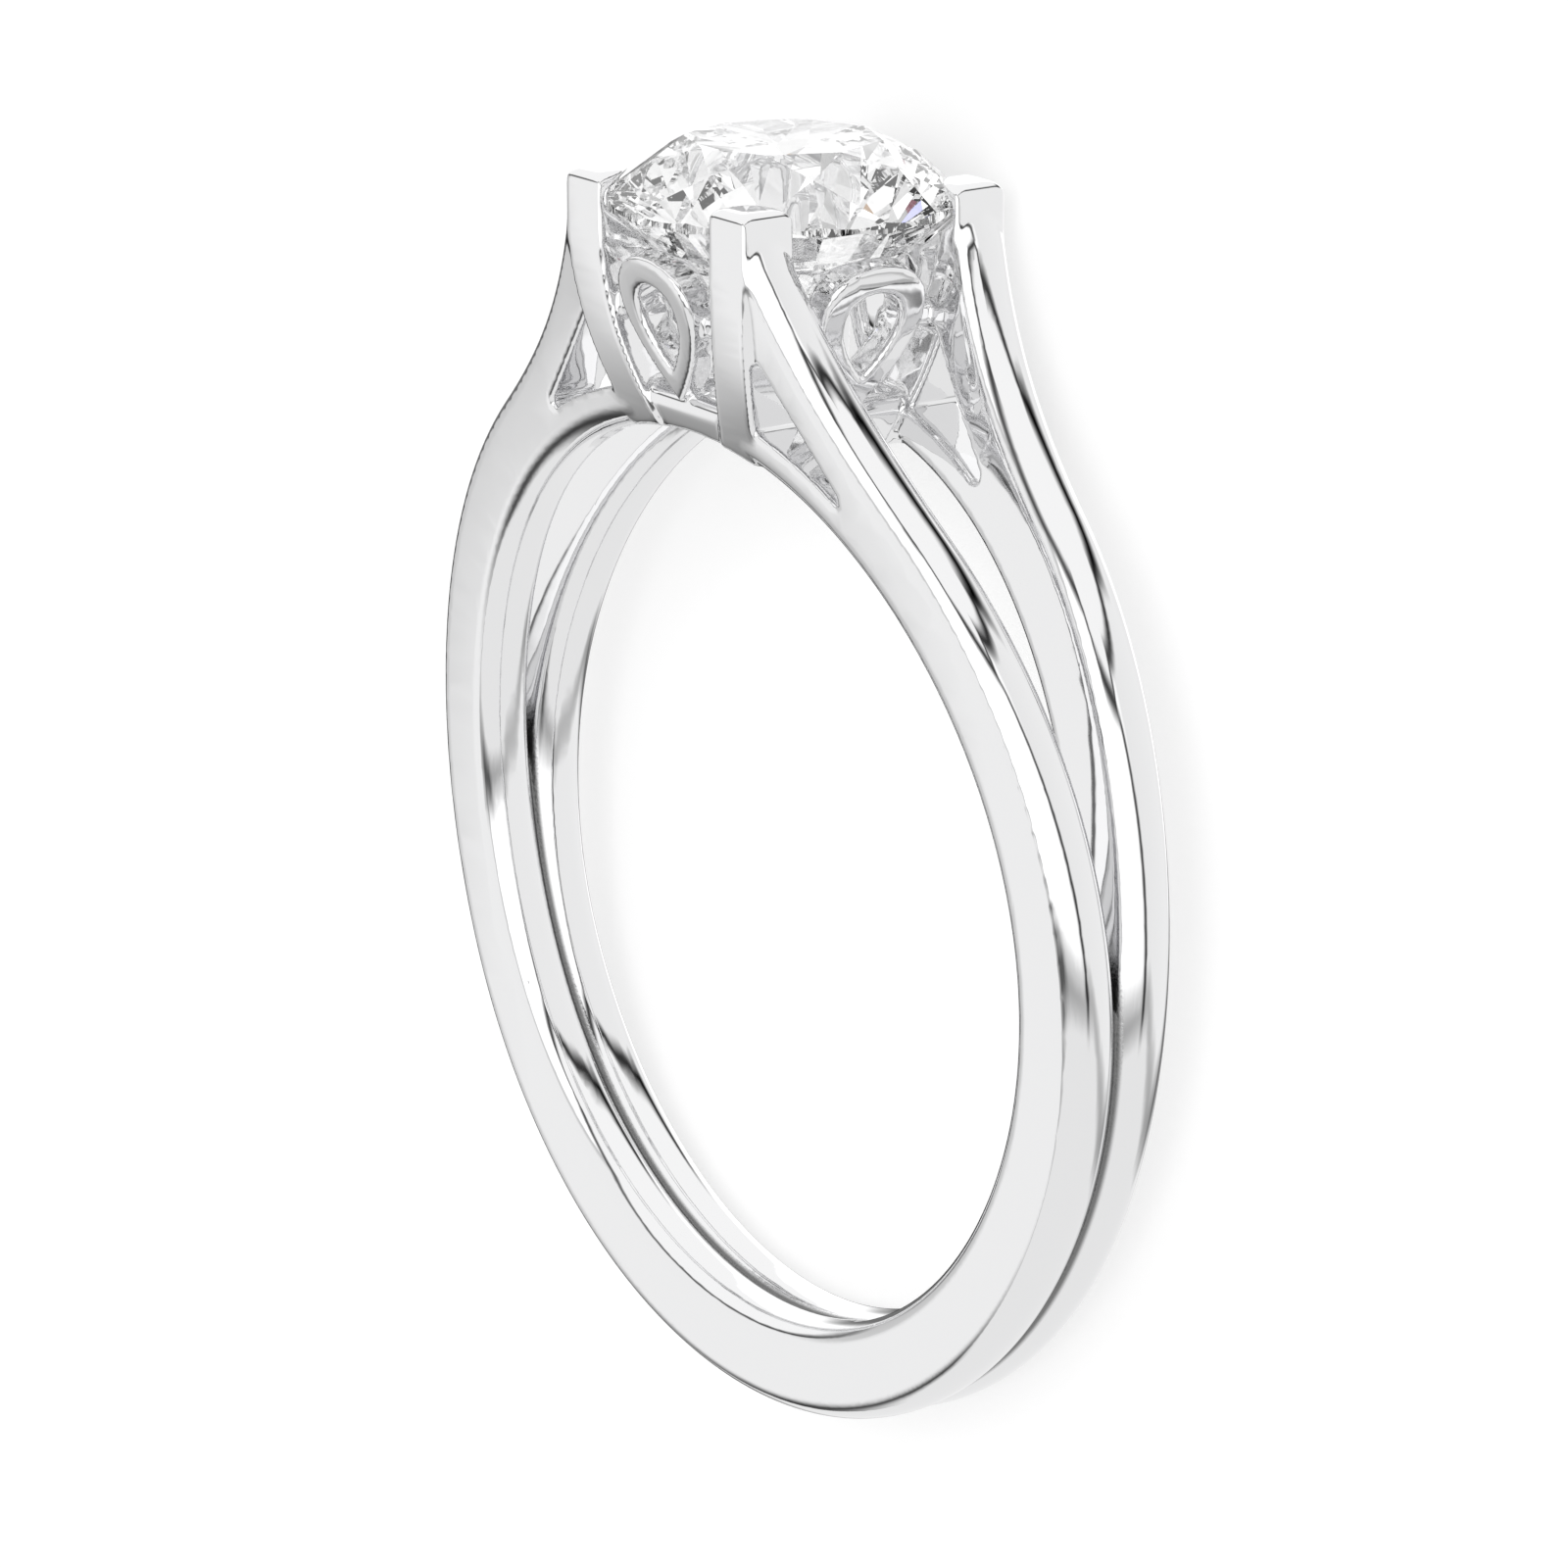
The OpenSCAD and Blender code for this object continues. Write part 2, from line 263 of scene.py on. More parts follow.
foot_angle = math.degrees(math.acos((HEAD_HALF - sweep(RIM) - RAIL_ROOT) / RIM))
rail_line = [rail_point(i / RAIL_STEPS) for i in range(RAIL_STEPS + 1)]
rail_line.append(RAIL_END + RAIL_ROOT * Vector((-1, math.tan(math.radians(RAIL_SLOPE)))))


def section(edge, outwards, hole_angle):
    """Points of the section whose outer edge lies at edge, in X and Z, with Y across the strand."""
    points = []
    for k in range(DOME_STEPS + 1):
        a = dome_angle * (1 - 2 * k / DOME_STEPS)
        rise = DOME_H - dome_arc * (1 - math.cos(a))
        place = edge + rise * outwards
        points.append(Vector((place.x, dome_arc * math.sin(a), place.y)))
    for k in range(INSIDE_STEPS + 1):
        a = math.pi * k / INSIDE_STEPS
        radius = max(RIM, RIM + INNER_H - (INNER_H + INNER_SINK) * math.sin(a))
        place = polar(radius, hole_angle)
        points.append(Vector((place.x, -strand_half * math.cos(a), place.y)))
    return points


print("rail from", tuple(round(v, 2) for v in rail_start), "to", tuple(round(v, 2) for v in RAIL_END))

# %% [markdown]
# One quarter of the shank is enough, because the ring is the same on its left and right and on
# both sides. It is spun up to where the rail leaves the circle. From there each short extrusion is
# followed by moving the new end's points to the section that belongs there.

# %% Spin the band and extrude the shoulder
BAND_STEPS = 140

strands = outline("strands", section(polar(SIDE_R, -90), polar(1, -90), -90))
edit_mesh(strands, "FACE")
bpy.ops.mesh.select_all(action="SELECT")
bpy.ops.mesh.spin(steps=BAND_STEPS, angle=math.radians(90 + RAIL_FROM), center=(0, 0, 0), axis=(0, 1, 0))

here = section(polar(SIDE_R, RAIL_FROM), polar(1, RAIL_FROM), RAIL_FROM)
for i in range(1, RAIL_STEPS + 2):
    t = i / (RAIL_STEPS + 1)
    before, after = rail_line[i - 1], rail_line[min(i + 1, RAIL_STEPS + 1)]
    ahead = (after - before).normalized()
    there = section(rail_line[i], Vector((ahead.y, -ahead.x)), RAIL_FROM * (1 - t) + foot_angle * t)
    bpy.ops.mesh.extrude_region_move()
    mesh = bmesh.from_edit_mesh(strands.data)
    for vertex in [v for v in mesh.verts if v.select]:
        nearest = min(range(len(here)), key=lambda k: (here[k] - vertex.co).length)
        vertex.co = there[nearest]
    bmesh.update_edit_mesh(strands.data)
    here = there
strands = object_mode()
print("quarter of the shank:", len(strands.data.vertices), "points, reaches z",
      round(max(v.co.z for v in strands.data.vertices), 2))

# %% [markdown]
# The stone sits in a hollow that is its own outline with a little air round it. A jeweller cuts
# this seat with a round burr. Here it is an outline spun round the stone's axis, and every piece
# of metal that comes near the stone is cut with it.

# %% Seat of the stone
SEAT_GAP = 0.03             # air between stone and metal
SEAT_SLOPE = 40.0           # steepness of the seat over the girdle, in degrees
SEAT_SPARE = 1.0            # how far the tool goes on over the posts
SEAT_STEPS = 180
GIRDLE_Z = RIM + 3.94       # height of the middle of the stone's girdle
GIRDLE_T = 0.2
TABLE_R = 1.735             # corner radius of the stone's table
CROWN = math.radians(36)
PAVILION = math.radians(40.8)

girdle_top = GIRDLE_Z + GIRDLE_T / 2
girdle_low = GIRDLE_Z - GIRDLE_T / 2
wide = STONE_R + SEAT_GAP
seat_low = girdle_low - SEAT_GAP
seat_top = girdle_top + SEAT_GAP
above = POST_TOP + SEAT_SPARE - girdle_top
seat_line = [(0, seat_low - wide * math.tan(PAVILION)),
             (wide, seat_low), (wide, seat_top),
             (wide - above / math.tan(math.radians(SEAT_SLOPE)), seat_top + above),
             (0, seat_top + above)]
seat = lathe("seat", seat_line, "Z", 0, 360, SEAT_STEPS)
print("seat:", triangles(seat), "triangles")

# %% [markdown]
# The strand leans out to the head's width as it climbs. While it is still one closed quarter, the
# seat is cut into its top, because a cut is surest on a closed shape. The flat end at the bottom is
# then opened and joined to its mirror image.

# %% Lean the strand out to the head
MIDDLE = 0.001              # a face with all its points this near to the middle is the flat end
MIRROR_MERGE = 0.002

mesh = edit_mesh(strands, "FACE")
for vertex in mesh.verts:
    vertex.co.y = vertex.co.y - (half_width(vertex.co.z) - strand_half)
face_outwards()
object_mode()
cut(strands, seat)
print("quarter after the seat's cut:", triangles(strands), "triangles")

mesh = edit_mesh(strands, "FACE")
for face in mesh.faces:
    face.select_set(all(abs(v.co.x) < MIDDLE for v in face.verts))
bpy.ops.mesh.delete(type="ONLY_FACE")
object_mode()
apply_modifier(strands, "MIRROR", use_axis=(True, False, False), merge_threshold=MIRROR_MERGE)
edit_mesh(strands, "FACE")
face_outwards()
object_mode()
print("one strand:", triangles(strands), "triangles")

# %% [markdown]
# The windows are three-cornered holes right through the shoulders, above a low sill that keeps to
# the finger hole. Their outline runs along the sill, round a small arc at the tip and back up under
# the rail into the post. With the windows cut, the strand is mirrored to the other side of the ring.

# %% Windows and the second strand
SILL_R = RIM + 0.75         # radius of the sill's upper side
WINDOW_TOP = RIM + 1.85     # where the slant meets the post's face
WINDOW_TIP = 61.3           # direction of the window's tip, in degrees
TIP_R = 0.1
WINDOW_ROOT = 0.45          # how far the outline runs on into the post
SILL_STEPS = 24
TIP_STEPS = 12
THROUGH = 12.0              # length of a tool that goes right through the ring

tip = polar(SILL_R + TIP_R, WINDOW_TIP)
corner = Vector((HEAD_HALF - sweep(WINDOW_TOP), WINDOW_TOP))
slant = tip - corner
upper = math.degrees(math.atan2(slant.x, -slant.y))
foot = math.degrees(math.acos((POST_INNER + POST_W / 2 - sweep(SILL_R)) / SILL_R))
root = corner - WINDOW_ROOT * slant.normalized()
window_line = [polar(SILL_R, foot + (WINDOW_TIP - foot) * i / SILL_STEPS) for i in range(SILL_STEPS + 1)]
window_line += [tip + polar(TIP_R, WINDOW_TIP - 180 + (upper - WINDOW_TIP + 180) * i / TIP_STEPS)
                for i in range(1, TIP_STEPS + 1)]
window_line += [root, root - Vector((WINDOW_ROOT, 0))]
window = outline("window", [Vector((p.x, -THROUGH / 2, p.y)) for p in window_line])
extrude_all(window, (0, THROUGH, 0))
apply_modifier(window, "MIRROR", use_axis=(True, False, False), use_mirror_merge=False)
cut(strands, window)
apply_modifier(strands, "MIRROR", use_axis=(False, True, False), use_mirror_merge=False)
print("strands:", triangles(strands), "triangles")

# %% [markdown]
# The head stands on four square posts. A post starts as a cube at its straight top. Its lower face
# is extruded down in short steps, each moved inwards along the sweep, and its top edges are
# rounded by a bevel. Two mirrors make four of it.

# %% Posts
POST_LOW = 7.6              # the posts' feet end inside the finger hole, which is cut later
TOP_ROUND = 0.25
ROUND_STEPS = 8             # steps of a rounded edge
POST_STEPS = 24
NEAR_TOP = 0.01

post_mid = (HEAD_HALF + POST_INNER) / 2
posts = box("posts", (POST_W, POST_W, POST_TOP - SWEEP_Z), (post_mid, -post_mid, (POST_TOP + SWEEP_Z) / 2))
mesh = edit_mesh(posts, "EDGE")
for edge in mesh.edges:
    edge.select_set(all(v.co.z > POST_TOP - NEAR_TOP for v in edge.verts))
bpy.ops.mesh.bevel(offset=TOP_ROUND, segments=ROUND_STEPS, affect="EDGES")
bpy.ops.mesh.select_mode(type="FACE")
bpy.ops.mesh.select_all(action="DESELECT")
mesh = bmesh.from_edit_mesh(posts.data)
mesh.faces.ensure_lookup_table()
lowest = min(mesh.faces, key=lambda f: f.calc_center_median().z)
lowest.select_set(True)
for i in range(POST_STEPS):
    z0 = SWEEP_Z + (POST_LOW - SWEEP_Z) * i / POST_STEPS
    z1 = SWEEP_Z + (POST_LOW - SWEEP_Z) * (i + 1) / POST_STEPS
    inwards = sweep(z1) - sweep(z0)
    bpy.ops.mesh.extrude_region_move(TRANSFORM_OT_translate={"value": (-inwards, inwards, z1 - z0)})
object_mode()
apply_modifier(posts, "MIRROR", use_axis=(True, True, False), use_mirror_merge=False)
print("posts:", triangles(posts), "triangles")

# %% [markdown]
# Between two posts there is a low gallery rail with a softly rounded top, a small tie bar higher up
# and a flat pear-shaped loop that leans outwards. One side is made and copied to the other three.
# The rail's section follows the posts' sweep on both faces, and the section is drawn out sideways.

# %% Gallery rail
GALLERY_TOP = RIM + 0.72
GALLERY_INSET = 0.1         # how far the rail stands back from the posts' faces
GALLERY_ROUND = 0.28
GALLERY_HALF = 1.45         # half length of the rail, which ends inside the posts
RAIL_LAYERS = 10


def rail_corner(y, z):
    return Vector((-GALLERY_HALF, y, z))


rail_section = []
for i in range(RAIL_LAYERS + 1):
    z = POST_LOW + (GALLERY_TOP - GALLERY_ROUND - POST_LOW) * i / RAIL_LAYERS
    rail_section.append(rail_corner(-(HEAD_HALF - GALLERY_INSET - sweep(z)), z))
front_y = rail_section[-1].y
for i in range(1, ROUND_STEPS + 1):
    a = math.radians(90 * i / ROUND_STEPS)
    rail_section.append(rail_corner(front_y + GALLERY_ROUND * (1 - math.cos(a)),
                                    GALLERY_TOP - GALLERY_ROUND * (1 - math.sin(a))))
rail_section.append(rail_corner(-(POST_INNER - sweep(GALLERY_TOP)), GALLERY_TOP))
for i in range(1, RAIL_LAYERS + 1):
    z = GALLERY_TOP + (POST_LOW - GALLERY_TOP) * i / RAIL_LAYERS
    rail_section.append(rail_corner(-(POST_INNER - sweep(z)), z))
low_rail = extrude_all(outline("low_rail", rail_section), (2 * GALLERY_HALF, 0, 0))
print("low rail:", triangles(low_rail), "triangles")

# %% [markdown]
# The tie bar is a long box with its edges rounded. Its two ends disappear in the posts.

# %% Tie bar
TIE_Z = RIM + 2.15
TIE_T = 0.4
TIE_LEN = 3.6
TIE_INSET = 0.2             # how far it stands back from the posts' faces
TIE_DEPTH = 0.48
TIE_ROUND = 0.1
TIE_ROUND_STEPS = 3

tie_front = HEAD_HALF - TIE_INSET - sweep(TIE_Z)
tie = box("tie", (TIE_LEN, TIE_DEPTH, TIE_T), (0, -(tie_front - TIE_DEPTH / 2), TIE_Z))
edit_mesh(tie, "EDGE")
bpy.ops.mesh.select_all(action="SELECT")
bpy.ops.mesh.bevel(offset=TIE_ROUND, segments=TIE_ROUND_STEPS, affect="EDGES")
object_mode()
print("tie bar:", triangles(tie), "triangles")

# %% [markdown]
# The loop is a plate with a pear's outline and a smaller pear cut out of it as its eye. Both are
# drawn flat and then leaned out together. The same eye is cut through the tie bar, which would
# otherwise cross it.

# %% Loop
LOOP_LEAN = 16.7            # degrees
LOOP_FOOT = 2.21            # how far the loop's point is from the stone's axis
LOOP_TIP = RIM + 0.6        # height of its point
LOOP_LEN = 2.75
LOOP_W = 2.2
LOOP_T = 0.6
EYE_FROM = 0.62             # from the loop's point to the eye's
EYE_LEN = 1.6
EYE_W = 1.14
EYE_START = 1.0             # the eye's tool starts this far in front of the loop
EYE_DEPTH = 2.2
PEAR_WIDTH = 8 / (3 * math.sqrt(3))     # how wide the pear's formula is by itself
PEAR_CORNERS = 96


def pear(width, low, high):
    """Outline of a pear with its point down, as X across and Y up its face."""
    line = []
    for i in range(PEAR_CORNERS):
        a = 2 * math.pi * i / PEAR_CORNERS
        line.append(Vector((width / PEAR_WIDTH * math.sin(a) * abs(math.sin(a / 2)),
                            low + (high - low) * (1 - math.cos(a)) / 2, 0)))
    return line


def lean_out(piece):
    """Puts a piece that is drawn flat on the leaning face of the loop at the front."""
    piece.rotation_euler = (math.radians(90 + LOOP_LEAN), 0, 0)
    piece.location = (0, -LOOP_FOOT, LOOP_TIP)
    return settle(piece)


loop = outline("loop", pear(LOOP_W, 0, LOOP_LEN))
lean_out(extrude_all(loop, (0, 0, -LOOP_T)))
eye_line = [p + Vector((0, 0, EYE_START)) for p in pear(EYE_W, EYE_FROM, EYE_FROM + EYE_LEN)]
eye = outline("eye", eye_line)
lean_out(extrude_all(eye, (0, 0, -EYE_DEPTH)))
cut(loop, eye)
cut(tie, eye)
print("loop:", triangles(loop), "triangles")

# %% [markdown]
# Two more tools shape what touches the finger: the finger hole, and the soft rounding of the
# posts' feet beside it, which is spun. Each piece is cut on its own, because a cut is surest on a
# single closed shape.

# %% Finger hole and feet
HOLE_STEPS = 360
FOOT_ROUND = 0.25
FOOT_FROM = 176.0           # where the rounding's arc starts, just short of the hole's wall
FOOT_STEPS = 12
FOOT_INSIDE = 0.6           # how far the tool reaches into the hole
FOOT_OUTSIDE = 1.0          # and how far out over the posts' faces
FEET_ARC = 60               # the spin starts at this angle and is as long, so it covers the head

bpy.ops.object.select_all(action="DESELECT")
bpy.ops.mesh.primitive_cylinder_add(vertices=HOLE_STEPS, radius=RIM, depth=THROUGH,
                                    rotation=(math.pi / 2, 0, 0))
hole = bpy.context.active_object
hole.name = "hole"

foot_lean = math.degrees(math.asin((SWEEP_Z - RIM) / SWEEP_R))
foot_face = HEAD_HALF - sweep(RIM)
foot_mid = Vector((RIM + FOOT_ROUND, foot_face - FOOT_ROUND * math.tan(math.radians(90 - foot_lean) / 2)))
foot_line = [foot_mid + polar(FOOT_ROUND, FOOT_FROM + (90 + foot_lean - FOOT_FROM) * i / FOOT_STEPS)
             for i in range(FOOT_STEPS + 1)]
foot_line = [Vector((RIM - FOOT_INSIDE, foot_line[0].y))] + foot_line
foot_line += [Vector((foot_line[-1].x, foot_face + FOOT_OUTSIDE)),
              Vector((RIM - FOOT_INSIDE, foot_face + FOOT_OUTSIDE))]
feet = lathe("feet", [(p.x, -p.y) for p in foot_line], "Y", FEET_ARC, FEET_ARC, FEET_ARC)
apply_modifier(feet, "MIRROR", use_axis=(False, True, False), use_mirror_merge=False)
print("feet:", triangles(feet), "triangles")

# %% [markdown]
# The four sides of the head are alike, so each piece of the one side is copied and turned by a
# quarter of a turn at a time. Then the tools are used on what they touch.

# %% Four sides and their cuts
metal = [strands]
for kind, plain in (("low_rail", low_rail), ("tie", tie), ("loop", loop)):
    for quarter in range(4):
        piece = copy_of(plain, kind + "_" + str(quarter + 1))
        piece.rotation_euler = (0, 0, quarter * math.pi / 2)
        settle(piece)
        if kind == "low_rail":
            cut(piece, hole)
            cut(piece, feet)
        else:
            cut(piece, seat)
        metal.append(piece)
for tool in (hole, feet, seat):
    cut(posts, tool)
metal.append(posts)
print("pieces of metal before soldering:", len(metal))

# %% [markdown]
# On the real ring these pieces are one casting whose edges the polishing wheel has softened. The
# same happens here: the pieces are joined, a fine remesh makes them one skin, and a few rounds of
# smoothing take the sharpness off each edge and corner. The wheel hardly gets into the groove
# between the strands, so the groove takes little of the smoothing.

# %% One polished casting
VOXEL = 0.038
SOFTENING = 26              # rounds of smoothing
GROOVE_REACH = 0.13         # how far from the middle the wheel leaves the groove alone
GROOVE_SHARE = 0.12         # share of the smoothing that the groove gets
GROOVE_END = 1.0            # height at which the strands are far apart
MOST_TRIANGLES = 195000

for tool in (window, low_rail, tie, loop, eye, hole, feet, seat):
    bpy.data.objects.remove(tool, do_unlink=True)
pick(*metal[1:], strands)
bpy.ops.object.join()
ring = bpy.context.active_object
ring.name = "polished_ring"
apply_modifier(ring, "REMESH", mode="VOXEL", voxel_size=VOXEL, adaptivity=0.0)
print("remeshed:", triangles(ring), "triangles")

polished = ring.vertex_groups.new(name="polished")
for vertex in ring.data.vertices:
    in_groove = abs(vertex.co.y) < GROOVE_REACH and vertex.co.z < GROOVE_END
    polished.add([vertex.index], GROOVE_SHARE if in_groove else 1.0, "REPLACE")
apply_modifier(ring, "SMOOTH", factor=0.5, iterations=SOFTENING, vertex_group="polished")
ring.vertex_groups.clear()
apply_modifier(ring, "DECIMATE", ratio=min(1.0, MOST_TRIANGLES / triangles(ring)))
print("thinned:", triangles(ring), "triangles")

# %% [markdown]
# A ring put down by itself lies on the side of its band and on the edge of its stone. It is turned
# to that place and brought from millimetres to metres, which leaves it in the CAD part's frame.

# %% Lay the ring down
side_reach = girdle_low + SIDE_R
# The line from the band's side at the bottom to the girdle's edge comes to lie on the floor.
PITCH = math.atan((STONE_R - BAND_HALF) / side_reach)
LIFT = STONE_R * math.cos(PITCH) - girdle_low * math.sin(PITCH)
# The shift brings the middle of the ring's whole length to the origin.
table_z = girdle_top + (STONE_R - TABLE_R) * math.tan(CROWN)
head_end = table_z * math.cos(PITCH) + TABLE_R * math.sin(PITCH)
band_end = ((SIDE_R + DOME_H - dome_arc) * math.cos(PITCH)
            + (BAND_HALF - strand_half) * math.sin(PITCH) + dome_arc)
SHIFT = (head_end - band_end) / 2

ring.rotation_euler = (PITCH - math.pi / 2, 0, 0)
ring.location = (0, -SHIFT / 1000, LIFT / 1000)
ring.scale = (0.001, 0.001, 0.001)
settle(ring)
bpy.ops.object.shade_smooth()
apply_modifier(ring, "WEIGHTED_NORMAL", mode="FACE_AREA", weight=50)
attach(ring, "root")
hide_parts("ring_mount")
print("pitch", round(math.degrees(PITCH), 3), "degrees, lift", round(LIFT, 3), "mm, shift", round(SHIFT, 3))

# %% [markdown]
# A material is a tree of nodes. These helpers add nodes to `tree`, the one that is being made, and
# give back the output that the next node needs. Where a value goes in, it may be a number, a colour
# or another node's output.

# %% Helpers for materials
def new_material(name):
    material = bpy.data.materials.new(name)
    material.use_nodes = True
    shader = material.node_tree.nodes["Principled BSDF"]
    return material, material.node_tree, shader


def add(kind, **settings):
    node = tree.nodes.new(kind)
    for name, value in settings.items():
        setattr(node, name, value)
    return node


def plug(socket, value):
    if isinstance(value, bpy.types.NodeSocket):
        tree.links.new(value, socket)
    else:
        socket.default_value = value


def calc(operation, *values):
    """One step of arithmetic."""
    node = add("ShaderNodeMath", operation=operation)
    for socket, value in zip(node.inputs, values):
        plug(socket, value)
    return node.outputs[0]


def dot(source, axis):
    """How far a place or a direction goes along an axis."""
    node = add("ShaderNodeVectorMath", operation="DOT_PRODUCT")
    plug(node.inputs[0], source)
    plug(node.inputs[1], axis)
    return node.outputs["Value"]


def step(value, low, high):
    """Goes softly from 0 at low to 1 at high. Low may be the larger of the two."""
    node = add("ShaderNodeMapRange", interpolation_type="SMOOTHSTEP")
    plug(node.inputs["Value"], value)
    plug(node.inputs["From Min"], low)
    plug(node.inputs["From Max"], high)
    return node.outputs["Result"]


def mix(share, a, b, kind="FLOAT"):
    """All a where the share is 0, all b where it is 1."""
    node = add("ShaderNodeMix", data_type=kind)
    plug(node.inputs["Factor"], share)
    plug(node.inputs["A"], a)
    plug(node.inputs["B"], b)
    return node.outputs["Result"]


def noise(source, scale, detail):
    node = add("ShaderNodeTexNoise")
    plug(node.inputs["Vector"], source)
    plug(node.inputs["Scale"], scale)
    plug(node.inputs["Detail"], detail)
    return node.outputs["Fac"]


def ramp(source, stops):
    """A colour ramp in grey, from pairs of position and brightness."""
    node = add("ShaderNodeValToRGB")
    while len(node.color_ramp.elements) < len(stops):
        node.color_ramp.elements.new(1.0)
    for element, (place, grey) in zip(node.color_ramp.elements, stops):
        element.position = place
        element.color = (grey, grey, grey, 1)
    plug(node.inputs["Fac"], source)
    return node.outputs["Color"]


# %% [markdown]
# White gold is a nearly colourless metal. Its polish is never quite even, so fine noise moves the
# roughness a little. The groove between the two strands is out of the wheel's reach and keeps a
# rough, grainy skin, and its colour there is painted dark as painted shade for the narrow crease.
# A mask finds it: close to the ring's middle plane, and low enough on the band for the strands to
# be still together. The mask leans as the ring does.

# %% Where the groove is
WHITE_GOLD = (0.84, 0.84, 0.845, 1)
# painted shade: the groove's colour, darkened for the shade that falls in the crease
GROOVE_PAINTED_SHADE = (0.22, 0.22, 0.22, 1)
GROOVE_DARK = 0.04          # the groove is all dull up to here, in mm from the middle plane
GROOVE_EDGE = 0.12          # and polished from here
GROOVE_FADE = 1.5           # the groove ends over this height

white_gold, tree, shader = new_material("white_gold")
shader.inputs["Base Color"].default_value = WHITE_GOLD
shader.inputs["Metallic"].default_value = 1.0
place = add("ShaderNodeTexCoord").outputs["Object"]

middle_level = (SHIFT * math.sin(PITCH) + LIFT * math.cos(PITCH)) / 1000
band_level = (LIFT * math.sin(PITCH) - SHIFT * math.cos(PITCH)) / 1000
across = calc("ADD", dot(place, (0, math.sin(PITCH), -math.cos(PITCH))), middle_level)
height = dot(place, (0, math.cos(PITCH), math.sin(PITCH)))
in_groove = step(calc("ABSOLUTE", across), GROOVE_EDGE / 1000, GROOVE_DARK / 1000)
on_band = step(height, band_level + GROOVE_FADE / 1000, band_level)
groove = calc("MULTIPLY", in_groove, on_band)
print("groove mask round", round(middle_level * 1000, 3), "mm, below", round(band_level * 1000, 3), "mm")

# %% [markdown]
# The mask mixes three things: the roughness, the colour, which it darkens as painted shade for the
# crease, and a fine grain, which is only a bump and bends the light without changing the shape.

# %% Material of the metal
polish = ramp(noise(place, 900, 5), [(0.3, 0.02), (0.7, 0.07)])
plug(shader.inputs["Roughness"], mix(groove, polish, 0.45))
# painted shade: the colour goes dark in the groove, for the shade in the crease
plug(shader.inputs["Base Color"], mix(groove, WHITE_GOLD, GROOVE_PAINTED_SHADE, "RGBA"))

bump = add("ShaderNodeBump")
plug(bump.inputs["Strength"], 0.6)
plug(bump.inputs["Distance"], 0.00003)
plug(bump.inputs["Height"], calc("MULTIPLY", noise(place, 16000, 4), groove))
plug(shader.inputs["Normal"], bump.outputs["Normal"])

ring.data.materials.clear()
ring.data.materials.append(white_gold)
print("metal material:", white_gold.name, "with", len(tree.nodes), "nodes")

# %% [markdown]
# The stone is clear, perfectly smooth and bends light more than any glass. Its facets do the rest:
# light that comes in at the top bounces from facet to facet before it leaves, so the render below
# is given enough bounces for it. Too few would leave black facets.

# %% Material of the stone
brilliant, tree, shader = new_material("brilliant")
shader.inputs["Base Color"].default_value = (0.995, 0.995, 0.995, 1)
shader.inputs["Transmission Weight"].default_value = 1.0
shader.inputs["Roughness"].default_value = 0.0
shader.inputs["IOR"].default_value = 2.42
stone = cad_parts["centre_stone"]
stone.data.materials.clear()
stone.data.materials.append(brilliant)
print("stone:", stone.name, triangles(stone), "triangles")

# %% [markdown]
# The floor is plain white paper. A little light of its own keeps it white and its shadow weak.
# Mirrors don't see it, so the surroundings go on below the ring too, as they do round a ring that
# is held up in the air.

# %% Floor
bpy.ops.object.select_all(action="DESELECT")
bpy.ops.mesh.primitive_plane_add(size=1.2, location=(0, 0, 0))
floor = bpy.context.active_object
floor.name = "floor"
paper, tree, shader = new_material("paper")
shader.inputs["Base Color"].default_value = (0.5, 0.5, 0.5, 1)
shader.inputs["Roughness"].default_value = 0.9
shader.inputs["Emission Color"].default_value = (1, 1, 1, 1)
shader.inputs["Emission Strength"].default_value = 0.55
floor.data.materials.append(paper)
floor.visible_glossy = False
print("floor:", tuple(round(v, 2) for v in floor.dimensions), "m")

# %% [markdown]
# Polished metal has no look of its own, it shows its surroundings. A jeweller's photographer puts
# big white cards round the ring and leaves narrow dark seams between them, and those seams draw
# every line on the metal. Here all of that is painted on the surroundings. A direction is told by
# its bearing and its climb, both in degrees and both from the ring's own axes: bearing 0 is to the
# ring's right, 90 behind it, and climb 90 is straight over the stone.

# %% Directions round the ring
lay_down = Matrix.Rotation(PITCH - math.pi / 2, 3, "X")
world = bpy.context.scene.world or bpy.data.worlds.new("studio")
bpy.context.scene.world = world
world.use_nodes = True
tree = world.node_tree
tree.nodes.clear()
direction = add("ShaderNodeTexCoord").outputs["Generated"]


def along(axis):
    """How far a direction goes along one of the ring's own axes."""
    return dot(direction, lay_down @ Vector(axis))


def towards(bearing, climb):
    flat = math.cos(math.radians(climb))
    return (flat * math.cos(math.radians(bearing)), flat * math.sin(math.radians(bearing)),
            math.sin(math.radians(climb)))


def round_the_room(points, low, high):
    """A value that changes with the bearing and stays between low and high."""
    stops = [(0.5 + bearing / 360, (value - low) / (high - low)) for bearing, value in points]
    return calc("ADD", calc("MULTIPLY", ramp(turn_share, stops), high - low), low)


bearing = calc("MULTIPLY", calc("ARCTAN2", along((0, 1, 0)), along((1, 0, 0))), 180 / math.pi)
turn_share = calc("ADD", calc("DIVIDE", bearing, 360.0), 0.5)
climb = calc("MULTIPLY", calc("ARCSINE", along((0, 0, 1))), 180 / math.pi)
print("straight over the stone is", tuple(round(v, 3) for v in lay_down @ Vector((0, 0, 1))))

# %% [markdown]
# One belt of cards goes all round the ring. Its upper and lower edges rise and fall with the
# bearing, and so does its brightness. The values are told by what the ring in the picture mirrors.

